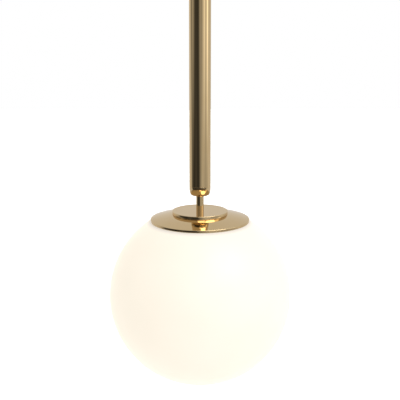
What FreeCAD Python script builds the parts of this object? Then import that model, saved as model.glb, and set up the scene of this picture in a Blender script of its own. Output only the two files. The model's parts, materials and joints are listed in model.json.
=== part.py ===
import FreeCAD, Part
import Sketcher
import math
import os
from types import SimpleNamespace

# Pendant ceiling light: a rigid brass rod with a thick sleeve, a domed cover and an opal glass globe.
# The origin is on the ceiling, on the lamp's axis. +Z points up, so the lamp hangs along -Z.
# All lengths are in millimetres.

DRIVING_DIMENSIONS = [
    # ceiling fixing
    ("plate_length", 115.0), ("plate_width", 24.0), ("plate_thick", 2.0), ("plate_tab_drop", 18.0),
    ("tab_width", 16.0), ("ceiling_hole_spacing", 76.0), ("ceiling_hole_radius", 2.6),
    ("tongue_width", 34.0), ("tongue_end", 46.0),
    ("canopy_radius", 60.0), ("canopy_depth", 32.0), ("canopy_wall", 1.2), ("canopy_corner", 6.0),
    ("canopy_hole_radius", 12.5), ("side_screw_drop", 10.0), ("side_screw_radius", 2.0),
    ("side_screw_head_radius", 4.2), ("side_screw_head_length", 3.2),
    # swivel
    ("pivot_drop", 16.0), ("yoke_thick", 2.0), ("yoke_inner_half", 17.0), ("yoke_width", 16.0),
    ("yoke_lug_drop", 22.0), ("swivel_pin_radius", 1.5), ("running_gap", 0.05),
    ("ring_outer_radius", 15.0), ("ring_inner_radius", 11.5), ("ring_height", 8.0),
    ("hub_radius", 8.2), ("hub_above", 3.5), ("hub_below", 11.0), ("hub_socket_above", -3.0),
    ("hub_bore_radius", 4.2),
    # rod and sleeve
    ("rod_radius", 5.2), ("rod_bore_radius", 3.6), ("rod_end_above_globe", 97.0),
    ("sleeve_radius", 14.5), ("sleeve_wall", 1.2), ("sleeve_top_drop", 54.0),
    ("sleeve_end_above_globe", 141.0), ("cable_radius", 2.9), ("core_radius", 0.9),
    # rounded ends of the sleeve: a flat face, a corner, and a slow swell up to the full radius
    ("cap_height", 13.0), ("cap_spigot_length", 8.0), ("cap_face_radius", 9.37),
    ("cap_corner_height", 3.8), ("cap_corner_radius", 4.6), ("cap_shoulder_radius", 13.9),
    ("cap_swell_height", 9.5),
    ("cap_swell_radius", 36.5), ("cap_waist_radius", 14.45),
    # discs over the globe, heights above the globe's centre
    ("globe_drop", 650.0), ("disc_radius", 37.8), ("disc_thick", 4.6), ("disc_edge", 0.5),
    ("cover_radius", 67.3), ("cover_rim_bottom", 105.0), ("cover_rim_height", 3.5),
    ("cover_land_radius", 37.2), ("cover_land_height", 115.0), ("cover_dome_radius", 242.9),
    ("cover_wall", 1.6), ("cover_rim_width", 5.0),
    # globe
    ("globe_radius", 125.0), ("globe_wall", 3.0), ("globe_rim_height", 104.4),
    # glass holder
    ("washer_radius", 16.0), ("washer_thick", 1.5), ("holder_radius", 30.0), ("holder_thick", 1.5),
    ("nut_across", 17.0), ("nut_height", 4.2), ("spring_width", 12.0), ("spring_thick", 0.8),
    # lampholder and lamp
    ("socket_cap_radius", 21.5), ("socket_shell_radius", 20.0), ("socket_wall", 1.8),
    ("sleeve_thread_radius", 14.35), ("sleeve_thread_inner", 13.75), ("lamp_cap_radius", 13.2),
    ("lamp_radius", 30.0), ("lamp_bottom", -34.0),
]

doc = FreeCAD.newDocument("PendantLight")
sheet = doc.addObject("Spreadsheet::Sheet", "Sizes")
parts = []


class Size:
    """A length that carries its value and the expression that gives it from the sheet."""

    def __init__(self, value, text):
        self.value = value
        self.text = text

    def combined(self, sign, other, value):
        return Size(value, "(%s %s %s)" % (self.text, sign, text_of(other)))

    def __add__(self, other):
        return self.combined("+", other, self.value + value_of(other))

    def __sub__(self, other):
        return self.combined("-", other, self.value - value_of(other))

    def __mul__(self, other):
        return self.combined("*", other, self.value * value_of(other))

    def __truediv__(self, other):
        return self.combined("/", other, self.value / value_of(other))

    def __neg__(self):
        return Size(-self.value, "(-1 * %s)" % self.text)

    def __radd__(self, other):
        return self + other

    def __rsub__(self, other):
        return -self + other

    def __rmul__(self, other):
        return self * other


def root(square):
    return Size(math.sqrt(square.value), "sqrt(%s)" % square.text)


def value_of(length):
    return length.value if isinstance(length, Size) else float(length)


def text_of(length):
    return length.text if isinstance(length, Size) else repr(float(length))


for row, (alias, number) in enumerate(DRIVING_DIMENSIONS, start=1):
    sheet.set("A%d" % row, alias)
    sheet.set("B%d" % row, str(number))
    sheet.setAlias("B%d" % row, alias)
doc.recompute()


size = SimpleNamespace(**{alias: Size(number, "Sizes." + alias) for alias, number in DRIVING_DIMENSIONS})
PIVOT = -size.pivot_drop
GLOBE = -size.globe_drop
HOLDER_TOP = size.cover_land_height - size.cover_wall - size.washer_thick

# Small hardware. Every screw or rivet is a little thinner than its hole.
FIT = 0.03
SLOT_WIDTH, SLOT_DEPTH = 0.8, 0.8
GRUB_SOCKET, GRUB_SOCKET_DEPTH, GRUB_RADIUS = 1.5, 1.2, 1.5
THROUGH = 400
YOKE_SCREW_RADIUS, YOKE_SCREW_X = 1.5, 12.5
BLOCK_SCREW_RADIUS, BLOCK_SCREW_X, BLOCK_MIDDLE_Y = 1.5, 4.5, 34.0
EARTH_SCREW_RADIUS, EARTH_X, EARTH_WASHER_RADIUS, EARTH_WASHER_THICK = 2.0, -27.0, 4.5, 0.8
BLOCK_LENGTH, BLOCK_WIDTH, BLOCK_HEIGHT = 28.0, 16.0, 10.0
TERMINAL_X, TERMINAL_Y = (-9.0, 0.0, 9.0), (29.5, 38.5)
CORE_DROP, CORE_RING, CORE_BEND = 5.8, 1.3, 4.5
HUB_SCREW_RISE, SLEEVE_SCREW_RISE, GRIP_SCREW_RISE = -7.5, 4.0, 102.5
ROD_CABLE_END = 87.6
SPRING_COUNT, SPRING_RIVET_RADIUS, SPRING_RIVET_OUT = 3, 1.6, 25.0


def bind(thing, prop, length):
    thing.setExpression(prop, text_of(length))


def set_place(thing, x=0, y=0, z=0):
    bind(thing, ".Placement.Base.x", x)
    bind(thing, ".Placement.Base.y", y)
    bind(thing, ".Placement.Base.z", z)


# ---------------------------------------------------------------- part design helpers

def new_body(label, x=0, y=0, z=0):
    body = doc.addObject("PartDesign::Body", label)
    body.Label = label
    set_place(body, x, y, z)
    parts.append(body)
    return body


def sketch_on(body, role):
    plane = [feature for feature in body.Origin.OriginFeatures if feature.Role == role][0]
    sketch = body.newObject("Sketcher::SketchObject", body.Name + "_sketch")
    sketch.AttachmentSupport = (plane, [""])
    sketch.MapMode = "FlatFace"
    return sketch


def fix_point(sketch, geometry, end, x, y):
    """Holds one end of a sketch edge at sizes measured from the sketch's origin."""
    for kind, axis, length in (("DistanceX", -2, x), ("DistanceY", -1, y)):
        if abs(value_of(length)) < 1e-9:
            sketch.addConstraint(Sketcher.Constraint("PointOnObject", geometry, end, axis))
            continue
        index = sketch.addConstraint(Sketcher.Constraint(kind, -1, 1, geometry, end, value_of(length)))
        bind(sketch, "Constraints[%d]" % index, length)


def outline(sketch, corners):
    """A closed outline. A corner is (x, y), or (x, y, bend) where the edge to the next corner is an arc
    of radius |bend|, counter-clockwise when bend is positive."""
    count = len(corners)
    ends = []
    points = [FreeCAD.Vector(value_of(corner[0]), value_of(corner[1]), 0) for corner in corners]
    for i, corner in enumerate(corners):
        start, stop = points[i], points[(i + 1) % count]
        if len(corner) == 2:
            sketch.addGeometry(Part.LineSegment(start, stop), False)
            ends.append((1, 2))
            continue
        ends.append(add_arc(sketch, start, stop, value_of(corner[2])))
        radius = corner[2] if value_of(corner[2]) > 0 else -corner[2]
        index = sketch.addConstraint(Sketcher.Constraint("Radius", i, value_of(radius)))
        bind(sketch, "Constraints[%d]" % index, radius)
    for i, corner in enumerate(corners):
        before = (i - 1) % count
        sketch.addConstraint(Sketcher.Constraint("Coincident", before, ends[before][1], i, ends[i][0]))
        fix_point(sketch, i, ends[i][0], corner[0], corner[1])


def add_arc(sketch, start, stop, bend):
    """Adds the short arc from start to stop and returns which of its ends is the start and the stop."""
    chord = stop - start
    middle = (start + stop) * 0.5
    left = FreeCAD.Vector(-chord.y, chord.x, 0)
    left.normalize()
    reach = math.sqrt(max(bend * bend - chord.Length ** 2 / 4, 0))
    centre = middle + left * (reach if bend > 0 else -reach)
    first, last = (start, stop) if bend > 0 else (stop, start)
    from_angle = math.atan2(first.y - centre.y, first.x - centre.x)
    to_angle = math.atan2(last.y - centre.y, last.x - centre.x)
    if to_angle < from_angle:
        to_angle += 2 * math.pi
    circle = Part.Circle(centre, FreeCAD.Vector(0, 0, 1), abs(bend))
    sketch.addGeometry(Part.ArcOfCircle(circle, from_angle, to_angle), False)
    return (1, 2) if bend > 0 else (2, 1)


def round_hole(sketch, x, y, radius):
    centre = FreeCAD.Vector(value_of(x), value_of(y), 0)
    circle = Part.Circle(centre, FreeCAD.Vector(0, 0, 1), value_of(radius))
    geometry = sketch.addGeometry(circle, False)
    index = sketch.addConstraint(Sketcher.Constraint("Radius", geometry, value_of(radius)))
    bind(sketch, "Constraints[%d]" % index, radius)
    fix_point(sketch, geometry, 3, x, y)


def turned(label, z, corners):
    """A body turned about the lamp's axis; its outline is (radius, height) above z."""
    body = new_body(label, z=z)
    sketch = sketch_on(body, "XZ_Plane")
    outline(sketch, corners)
    turn = body.newObject("PartDesign::Revolution", label + "_turn")
    turn.Profile = sketch
    turn.ReferenceAxis = (sketch, ["V_Axis"])
    turn.Angle = 360
    sketch.Visibility = False
    return body


def pad(body, sketch, length, both_sides=False):
    feature = body.newObject("PartDesign::Pad", body.Name + "_pad")
    feature.Profile = sketch
    feature.SideType = "Symmetric" if both_sides else "One side"
    bind(feature, "Length", length)
    return feature


def drill(body, role, holes):
    """Round holes right through a body, square to one of its origin planes."""
    sketch = sketch_on(body, role)
    for x, y, radius in holes:
        round_hole(sketch, x, y, radius)
    cut = body.newObject("PartDesign::Pocket", body.Name + "_drill")
    cut.Profile = sketch
    cut.SideType = "Symmetric"
    cut.Type = "Length"
    cut.Length = THROUGH
    return cut


def ring_of(body, features, count):
    """Repeats features about the body's vertical axis."""
    axis = [item for item in body.Origin.OriginFeatures if item.Role == "Z_Axis"][0]
    pattern = body.newObject("PartDesign::PolarPattern", body.Name + "_ring")
    pattern.Originals = features
    pattern.Axis = (axis, [""])
    pattern.Angle = 360
    pattern.Occurrences = count
    body.Tip = pattern


# ---------------------------------------------------------------- primitive helpers

TOWARDS = {"+Z": FreeCAD.Rotation(), "+X": FreeCAD.Rotation(FreeCAD.Vector(0, 1, 0), 90),
           "-X": FreeCAD.Rotation(FreeCAD.Vector(0, 1, 0), -90),
           "+Y": FreeCAD.Rotation(FreeCAD.Vector(1, 0, 0), -90),
           "-Y": FreeCAD.Rotation(FreeCAD.Vector(1, 0, 0), 90),
           "-Z": FreeCAD.Rotation(FreeCAD.Vector(1, 0, 0), 180)}


def cylinder(radius, length, x=0, y=0, z=0, towards="+Z"):
    thing = doc.addObject("Part::Cylinder", "cylinder")
    bind(thing, "Radius", radius)
    bind(thing, "Height", length)
    thing.Placement.Rotation = TOWARDS[towards]
    set_place(thing, x, y, z)
    return thing


def cuboid(x, y, z, across, deep, high):
    """A box from its lowest corner."""
    thing = doc.addObject("Part::Box", "cuboid")
    bind(thing, "Length", across)
    bind(thing, "Width", deep)
    bind(thing, "Height", high)
    set_place(thing, x, y, z)
    return thing


def prism(across_flats, length, x=0, y=0, z=0, towards="+Z"):
    thing = doc.addObject("Part::Prism", "prism")
    thing.Polygon = 6
    bind(thing, "Circumradius", across_flats / math.sqrt(3))
    bind(thing, "Height", length)
    thing.Placement.Rotation = TOWARDS[towards]
    set_place(thing, x, y, z)
    return thing


def fused(things):
    joined = doc.addObject("Part::MultiFuse", "fused")
    joined.Shapes = things
    return joined


def cut(base, tools):
    result = doc.addObject("Part::Cut", "cut")
    result.Base = base
    result.Tool = tools[0] if len(tools) == 1 else fused(tools)
    return result


def group(things):
    """Separate solids that share one node."""
    result = doc.addObject("Part::Compound", "group")
    result.Links = things
    return result


def finish(label, thing):
    thing.Label = label
    parts.append(thing)
    return thing


def stepped(start, towards, distance):
    """A point at a distance from the start, along one of the named directions."""
    step = TOWARDS[towards].multVec(FreeCAD.Vector(0, 0, 1))
    return [place + distance * share if abs(share) > 0.5 else place for place, share in zip(start, step)]


def slotted_screw(shank_radius, shank_length, head_radius, head_length, seat, towards):
    """A screw whose shank runs from its head's seat in the direction given."""
    rotation = TOWARDS[towards]
    shank_start = stepped(seat, towards, -head_length / 2)
    head_start = stepped(seat, towards, -head_length)
    shank = cylinder(shank_radius, shank_length + head_length / 2, *shank_start, towards)
    head = cylinder(head_radius, head_length, *head_start, towards)
    slot = doc.addObject("Part::Box", "slot")
    slot.Length, slot.Width, slot.Height = 20, SLOT_WIDTH, 2 * SLOT_DEPTH
    slot.Placement.Rotation = rotation
    shift = rotation.multVec(FreeCAD.Vector(-10, -SLOT_WIDTH / 2, -SLOT_DEPTH))
    set_place(slot, *[place + step for place, step in zip(head_start, shift)])
    return cut(fused([shank, head]), [slot])


def grub_screw(length, start, towards):
    """A headless screw with a hexagon socket in its outer end."""
    mouth = stepped(start, towards, length - GRUB_SOCKET_DEPTH)
    socket = prism(GRUB_SOCKET, 2 * GRUB_SOCKET_DEPTH, *mouth, towards)
    return cut(cylinder(GRUB_RADIUS - FIT, length, *start, towards), [socket])


# ---------------------------------------------------------------- ceiling fixing

def ceiling_plate():
    """Steel strip with a rear tongue for the terminals and a turned-down tab at each end."""
    half = size.plate_length / 2
    strip = cuboid(-half, -size.plate_width / 2, -size.plate_thick, size.plate_length, size.plate_width,
                   size.plate_thick)
    tongue = cuboid(-size.tongue_width / 2, 0, -size.plate_thick, size.tongue_width, size.tongue_end,
                    size.plate_thick)
    tabs = [cuboid(x, -size.tab_width / 2, -size.plate_tab_drop, size.plate_thick, size.tab_width,
                   size.plate_tab_drop) for x in (-half, half - size.plate_thick)]
    holes = [cylinder(size.ceiling_hole_radius, 10, side * size.ceiling_hole_spacing / 2, 0, -8)
             for side in (-1, 1)]
    holes += [cylinder(YOKE_SCREW_RADIUS, 10, x, 0, -8) for x in (-YOKE_SCREW_X, YOKE_SCREW_X)]
    holes.append(cylinder(BLOCK_SCREW_RADIUS, 10, BLOCK_SCREW_X, BLOCK_MIDDLE_Y, -8))
    holes.append(cylinder(EARTH_SCREW_RADIUS, 10, EARTH_X, 0, -8))
    holes.append(cylinder(size.side_screw_radius, size.plate_length + 10, -half - 5, 0,
                          -size.side_screw_drop, "+X"))
    finish("ceiling_plate", cut(fused([strip, tongue] + tabs), holes))


def canopy():
    outer, depth, wall = size.canopy_radius, size.canopy_depth, size.canopy_wall
    corner = size.canopy_corner
    body = turned("canopy", 0, [
        (size.canopy_hole_radius, -depth), (outer - corner, -depth, corner), (outer, corner - depth),
        (outer, -0.5), (outer - wall, -0.5), (outer - wall, corner - depth, wall - corner),
        (outer - corner, wall - depth), (size.canopy_hole_radius, wall - depth)])
    drill(body, "YZ_Plane", [(0, -size.side_screw_drop, size.side_screw_radius + 0.2)])


def canopy_screws():
    """Two round-headed side screws that hold the canopy to the plate's tabs."""
    seat = size.canopy_radius + size.running_gap
    length = 9.0
    screws = [slotted_screw(size.side_screw_radius - FIT, length, size.side_screw_head_radius,
                            size.side_screw_head_length, (side, 0, -size.side_screw_drop), towards)
              for side, towards in ((seat, "-X"), (-seat, "+X"))]
    finish("canopy_screws", group(screws))


def earth_screw():
    seat = -size.plate_thick - EARTH_WASHER_THICK
    shank_length, head_radius, head_length = 2.5, 3.6, 2.4
    finish("earth_screw", slotted_screw(EARTH_SCREW_RADIUS - FIT, shank_length, head_radius, head_length,
                                        (EARTH_X, 0, seat), "+Z"))


def earth_washer():
    low = -size.plate_thick - EARTH_WASHER_THICK
    disc = cylinder(EARTH_WASHER_RADIUS, EARTH_WASHER_THICK, EARTH_X, 0, low)
    finish("earth_washer", cut(disc, [cylinder(EARTH_SCREW_RADIUS + 0.15, 4, EARTH_X, 0, low - 1)]))


def terminal_block():
    """Three-pole connector block: a wire way and two clamping screws at each pole."""
    front = BLOCK_MIDDLE_Y - BLOCK_WIDTH / 2
    low = -size.plate_thick - BLOCK_HEIGHT
    way_radius, well_radius, head_well_radius = 1.6, 1.7, 2.9
    block = cuboid(-BLOCK_LENGTH / 2, front, low, BLOCK_LENGTH, BLOCK_WIDTH, BLOCK_HEIGHT)
    ways = [cylinder(way_radius, BLOCK_WIDTH + 4, x, front - 2, -CORE_DROP, "+Y") for x in TERMINAL_X]
    well_depth = BLOCK_HEIGHT - CORE_DROP + 2.5
    wells = [cylinder(well_radius, well_depth, x, y, low - 0.5) for x in TERMINAL_X for y in TERMINAL_Y]
    bore = cylinder(BLOCK_SCREW_RADIUS + 0.15, BLOCK_HEIGHT + 4, BLOCK_SCREW_X, BLOCK_MIDDLE_Y, low - 2)
    head_well = cylinder(head_well_radius, 2.6, BLOCK_SCREW_X, BLOCK_MIDDLE_Y, low - 0.5)
    finish("terminal_block", cut(block, ways + wells + [bore, head_well]))


def terminal_screws():
    seat = -size.plate_thick - 0.9 * BLOCK_HEIGHT
    shank_radius, shank_length, head_radius, head_length = 1.2, 1.6, 1.6, 0.8
    screws = [slotted_screw(shank_radius, shank_length, head_radius, head_length, (x, y, seat), "+Z")
              for x in TERMINAL_X for y in TERMINAL_Y]
    finish("terminal_screws", group(screws))


def block_screw():
    seat = -size.plate_thick - 0.8 * BLOCK_HEIGHT
    shank_length, head_radius, head_length = 9.5, 2.7, 1.4
    finish("block_screw", slotted_screw(BLOCK_SCREW_RADIUS - FIT, shank_length, head_radius, head_length,
                                        (BLOCK_SCREW_X, BLOCK_MIDDLE_Y, seat), "+Z"))


# ---------------------------------------------------------------- swivel

def swivel_yoke():
    """U-shaped bracket under the plate, with an ear each side of the swivel ring."""
    inner, thick, width = size.yoke_inner_half, size.yoke_thick, size.yoke_width
    top = -size.plate_thick
    base = cuboid(-inner - thick, -width / 2, top - thick, (inner + thick) * 2, width, thick)
    drop = size.yoke_lug_drop
    ears = [cuboid(x, -width / 2, -drop, thick, width, drop - size.plate_thick)
            for x in (-inner - thick, inner)]
    holes = [cylinder(size.swivel_pin_radius, 60, -30, 0, PIVOT, "+X")]
    holes += [cylinder(YOKE_SCREW_RADIUS, 10, x, 0, -10) for x in (-YOKE_SCREW_X, YOKE_SCREW_X)]
    finish("swivel_yoke", cut(fused([base] + ears), holes))


def yoke_screws():
    seat = -size.plate_thick - size.yoke_thick
    shank_length, head_radius, head_length = 3.9, 2.6, 1.4
    screws = [slotted_screw(YOKE_SCREW_RADIUS - FIT, shank_length, head_radius, head_length, (x, 0, seat),
                            "+Z") for x in (-YOKE_SCREW_X, YOKE_SCREW_X)]
    finish("yoke_screws", group(screws))


def yoke_pins():
    """Fixed in the yoke's ears; the ring turns on them about X."""
    inside = size.ring_inner_radius + 0.8
    length = size.yoke_inner_half + size.yoke_thick + 0.6 - inside
    right = cylinder(size.swivel_pin_radius, length, inside, 0, PIVOT, "+X")
    left = cylinder(size.swivel_pin_radius, length, -inside, 0, PIVOT, "-X")
    finish("yoke_pins", group([right, left]))


def swivel_ring():
    half = size.ring_height / 2
    body = turned("swivel_ring", PIVOT, [
        (size.ring_inner_radius, -half), (size.ring_outer_radius, -half), (size.ring_outer_radius, half),
        (size.ring_inner_radius, half)])
    drill(body, "YZ_Plane", [(0, 0, size.swivel_pin_radius + size.running_gap)])
    drill(body, "XZ_Plane", [(0, 0, size.swivel_pin_radius)])


def ring_pins():
    """Fixed in the ring; the hub turns on them about Y."""
    inside = size.hub_radius - 2.4
    length = size.ring_outer_radius - 0.2 - inside
    back = cylinder(size.swivel_pin_radius, length, 0, inside, PIVOT, "+Y")
    front = cylinder(size.swivel_pin_radius, length, 0, -inside, PIVOT, "-Y")
    finish("ring_pins", group([back, front]))


def swivel_hub():
    """Carries the rod: a wide bore for the wires above, a socket for the rod below."""
    fit = 0.02
    body = turned("swivel_hub", PIVOT, [
        (size.hub_bore_radius, size.hub_socket_above), (size.hub_bore_radius, size.hub_above),
        (size.hub_radius - 1, size.hub_above), (size.hub_radius, size.hub_above - 1),
        (size.hub_radius, -size.hub_below), (size.rod_radius + fit, -size.hub_below),
        (size.rod_radius + fit, size.hub_socket_above)])
    drill(body, "XZ_Plane", [(0, 0, size.swivel_pin_radius + size.running_gap)])
    drill(body, "YZ_Plane", [(0, HUB_SCREW_RISE, GRUB_RADIUS)])


def hub_screws():
    """Two grub screws that lock the rod in the hub."""
    drop = PIVOT + HUB_SCREW_RISE
    start = size.rod_radius + size.running_gap
    length = size.hub_radius - 0.3 - start
    grubs = [grub_screw(length, (side, 0, drop), towards)
             for side, towards in ((start, "+X"), (-start, "-X"))]
    finish("hub_screws", group(grubs))


# ---------------------------------------------------------------- wiring

def canopy_wires():
    """Three cores from the swivel's centre to the terminals, each two straight runs and one bend."""
    radius = size.core_radius.value
    low = PIVOT.value + 1.2
    top = -CORE_DROP
    reach = TERMINAL_Y[0] - 1.0
    bends = []
    for x in TERMINAL_X:
        start = FreeCAD.Vector(CORE_RING * x / TERMINAL_X[-1], CORE_RING * (0.9 if x == 0 else -0.7), low)
        corner = FreeCAD.Vector(start.x, start.y, top)
        end = FreeCAD.Vector(x, reach, top)
        along = (end - corner).normalize()
        before = corner - FreeCAD.Vector(0, 0, CORE_BEND)
        after = corner + along * CORE_BEND
        centre = before + along * CORE_BEND
        middle = centre - (along + FreeCAD.Vector(0, 0, -1)).normalize() * CORE_BEND
        runs = (Part.LineSegment(start, before), Part.Arc(before, middle, after),
                Part.LineSegment(after, end))
        path = Part.Wire([run.toShape() for run in runs])
        section = Part.Wire([Part.Circle(start, FreeCAD.Vector(0, 0, 1), radius).toShape()])
        bends.append(path.makePipeShell([section], True, False))
    feature = doc.addObject("Part::Feature", "canopy_wires")
    feature.Shape = Part.makeCompound(bends)
    finish("canopy_wires", feature)


def rod_cable():
    """The sheathed cable inside the rod, from the swivel down to the lampholder."""
    top = PIVOT + size.hub_socket_above - 0.5
    bottom = GLOBE + ROD_CABLE_END
    finish("rod_cable", cylinder(size.cable_radius, top - bottom, 0, 0, bottom))


# ---------------------------------------------------------------- rod and sleeve

def rod():
    top = PIVOT + size.hub_socket_above - 0.05
    bottom = GLOBE + size.rod_end_above_globe
    turned("rod", bottom, [(size.rod_bore_radius, 0), (size.rod_radius, 0),
                           (size.rod_radius, top - bottom), (size.rod_bore_radius, top - bottom)])


def sleeve():
    top = -size.sleeve_top_drop - size.cap_height
    bottom = GLOBE + size.sleeve_end_above_globe + size.cap_height
    inner = size.sleeve_radius - size.sleeve_wall
    turned("sleeve", bottom, [(inner, 0), (size.sleeve_radius, 0), (size.sleeve_radius, top - bottom),
                              (inner, top - bottom)])


def sleeve_cap_corners(up):
    """A turned plug with a rounded outer end and a spigot inside the sleeve; up is 1 or -1."""
    end = -size.cap_height
    bore = size.rod_radius + size.running_gap
    spigot = size.sleeve_radius - size.sleeve_wall - size.running_gap

    def turn(length):
        return length if up > 0 else -length

    return [(bore, turn(end)), (size.cap_face_radius, turn(end), turn(size.cap_corner_radius)),
            (size.cap_shoulder_radius, turn(end + size.cap_corner_height), turn(size.cap_swell_radius)),
            (size.cap_waist_radius, turn(end + size.cap_swell_height)), (size.sleeve_radius, 0),
            (spigot, 0), (spigot, turn(size.cap_spigot_length)), (bore, turn(size.cap_spigot_length))]


def sleeve_end_cap():
    seam = GLOBE + size.sleeve_end_above_globe + size.cap_height
    turned("sleeve_end_cap", seam, sleeve_cap_corners(1))


def sleeve_top_cap():
    seam = -size.sleeve_top_drop - size.cap_height
    body = turned("sleeve_top_cap", seam, sleeve_cap_corners(-1))
    drill(body, "YZ_Plane", [(0, SLEEVE_SCREW_RISE, GRUB_RADIUS)])


def sleeve_screws():
    """Two grub screws in the top cap that grip the rod."""
    drop = -size.sleeve_top_drop - size.cap_height + SLEEVE_SCREW_RISE
    start = size.rod_radius + size.running_gap
    length = size.sleeve_radius - 0.6 - start
    grubs = [grub_screw(length, (side, 0, drop), towards)
             for side, towards in ((start, "+X"), (-start, "-X"))]
    finish("sleeve_screws", group(grubs))


# ---------------------------------------------------------------- discs over the globe

def trim_disc():
    """Flat polished disc with its edges broken."""
    edge, radius, thick = size.disc_edge, size.disc_radius, size.disc_thick
    bore = size.rod_radius + size.running_gap
    turned("trim_disc", GLOBE + size.cover_land_height, [
        (bore, 0), (radius - edge, 0, edge), (radius, edge), (radius, thick - edge, edge),
        (radius - edge, thick), (bore, thick)])


def globe_cover():
    """Shallow spun dome with a flat land in the middle and a thick turned rim."""
    outer, rim_bottom = size.cover_radius, size.cover_rim_bottom
    edge, wall = size.disc_edge, size.cover_wall
    rim_top = rim_bottom + size.cover_rim_height
    rim_inner, rim_depth = outer - size.cover_rim_width, 3.0
    land, land_radius = size.cover_land_height, size.cover_land_radius
    bore = size.rod_radius + size.running_gap
    turned("globe_cover", GLOBE, [
        (bore, land - wall), (land_radius - 0.6, land - wall, -(size.cover_dome_radius - wall)),
        (rim_inner, rim_bottom + rim_depth), (rim_inner, rim_bottom), (outer - edge, rim_bottom, edge),
        (outer, rim_bottom + edge), (outer, rim_top - edge, edge),
        (outer - edge, rim_top, size.cover_dome_radius), (land_radius, land), (bore, land)])


def clamp_washer():
    bore = size.rod_radius + size.running_gap
    turned("clamp_washer", GLOBE + HOLDER_TOP, [
        (bore, 0), (size.washer_radius, 0), (size.washer_radius, size.washer_thick),
        (bore, size.washer_thick)])


def glass_holder():
    """Steel disc with a rivet hole for each spring."""
    bore = size.rod_radius + size.running_gap
    body = turned("glass_holder", GLOBE + HOLDER_TOP - size.holder_thick, [
        (bore, 0), (size.holder_radius, 0), (size.holder_radius, size.holder_thick),
        (bore, size.holder_thick)])
    ring_of(body, [drill(body, "XY_Plane", [(SPRING_RIVET_OUT, 0, SPRING_RIVET_RADIUS)])], SPRING_COUNT)


def clamp_nut():
    bottom = GLOBE + HOLDER_TOP - size.holder_thick - size.nut_height
    bore = cylinder(size.rod_radius + size.running_gap, size.nut_height + 10, 0, 0, bottom - 5)
    finish("clamp_nut", cut(prism(size.nut_across, size.nut_height, 0, 0, bottom), [bore]))


def spring_line():
    """Centre line of one leaf spring: (distance from the axis, height above the globe's centre)."""
    seat = HOLDER_TOP - size.holder_thick - size.spring_thick / 2
    return [(19.0, seat), (38.0, seat), (53.5, seat - 10.0),
            (60.2, seat - 12.5), (73.0, seat - 18.5), (74.2, seat - 20.3),
            (66.0, seat - 31.0), (61.5, seat - 33.0)]


def spring_clips():
    """Leaf springs riveted under the holder, each bowed outwards under the glass's shoulder."""
    body = new_body("spring_clips", z=GLOBE)
    sketch = sketch_on(body, "XZ_Plane")
    line = spring_line()
    half = size.spring_thick / 2
    lower, upper = [], []
    for i, (x, y) in enumerate(line):
        back = line[max(i - 1, 0)]
        ahead = line[min(i + 1, len(line) - 1)]
        normals = []
        for near, far in ((back, line[i]), (line[i], ahead)):
            dx, dy = far[0] - near[0], value_of(far[1] - near[1])
            length = math.hypot(dx, dy)
            if length > 0:
                normals.append((-dy / length, dx / length))
        nx = sum(normal[0] for normal in normals)
        ny = sum(normal[1] for normal in normals)
        if len(normals) == 2:
            scale = 2 / (nx * nx + ny * ny)
            nx, ny = nx * scale, ny * scale
        upper.append((nx * half + x, ny * half + y))
        lower.append((-nx * half + x, -ny * half + y))
    outline(sketch, lower + upper[::-1])
    strip = pad(body, sketch, size.spring_width, both_sides=True)
    hole = drill(body, "XY_Plane", [(SPRING_RIVET_OUT, 0, SPRING_RIVET_RADIUS)])
    ring_of(body, [strip, hole], SPRING_COUNT)


def spring_rivets():
    """Rivets through the holder and the springs, headed at both ends."""
    top = GLOBE + HOLDER_TOP
    low = top - size.holder_thick - size.spring_thick
    head_radius, head_length, clearance = SPRING_RIVET_RADIUS + 1.1, 0.72, 0.04
    rivets = []
    for i in range(SPRING_COUNT):
        turn = 2 * math.pi * i / SPRING_COUNT
        x, y = SPRING_RIVET_OUT * math.cos(turn), SPRING_RIVET_OUT * math.sin(turn)
        shank = cylinder(SPRING_RIVET_RADIUS - FIT, top - low + head_length, x, y, low - head_length / 2)
        lower = cylinder(head_radius, head_length, x, y, low - clearance - head_length)
        upper = cylinder(head_radius, head_length, x, y, top + clearance)
        rivets.append(fused([shank, lower, upper]))
    finish("spring_rivets", group(rivets))


def cover_gasket():
    """Silicone ring under the cover's rim, just inside it."""
    inner, outer = size.cover_radius - size.cover_rim_width, size.cover_radius - 1.2
    clearance = 0.3
    thick = size.cover_rim_bottom - size.globe_rim_height - clearance
    turned("cover_gasket", GLOBE + size.globe_rim_height + clearance, [
        (inner, 0), (outer, 0), (outer, thick), (inner, thick)])


# ---------------------------------------------------------------- lampholder

def socket_cap():
    """Upper shell of the lampholder: a threaded neck on the rod and a shoulder over the lower shell."""
    neck, bore, wall, wide = 8.6, size.rod_radius + 0.02, size.socket_wall, size.socket_cap_radius
    body = turned("socket_cap", GLOBE, [
        (bore, 106.0), (neck, 106.0), (neck, 99.0), (wide - 5, 94.5, -5.0), (wide, 89.5), (wide, 76.0),
        (size.socket_shell_radius + 0.1, 76.0), (size.socket_shell_radius + 0.1, 89.2, 3.6),
        (size.socket_shell_radius - 3.5, 92.8), (bore, 95.5)])
    drill(body, "XZ_Plane", [(0, GRIP_SCREW_RISE, GRUB_RADIUS)])


def socket_grip_screws():
    """Locks the lampholder's neck on the rod."""
    start, length = size.rod_radius + size.running_gap, 3.3
    height = GLOBE + GRIP_SCREW_RISE
    grubs = [grub_screw(length, (0, side, height), towards)
             for side, towards in ((start, "+Y"), (-start, "-Y"))]
    finish("socket_grip_screws", group(grubs))


def socket_shell():
    """Lower shell with an inward lip at its mouth."""
    outer = size.socket_shell_radius
    turned("socket_shell", GLOBE, [
        (outer - size.socket_wall, 48.2), (outer - size.socket_wall, 86.0), (outer, 86.0), (outer, 48.0),
        (outer - 1.4, 46.6), (15.0, 46.6), (15.0, 48.2)])


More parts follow.
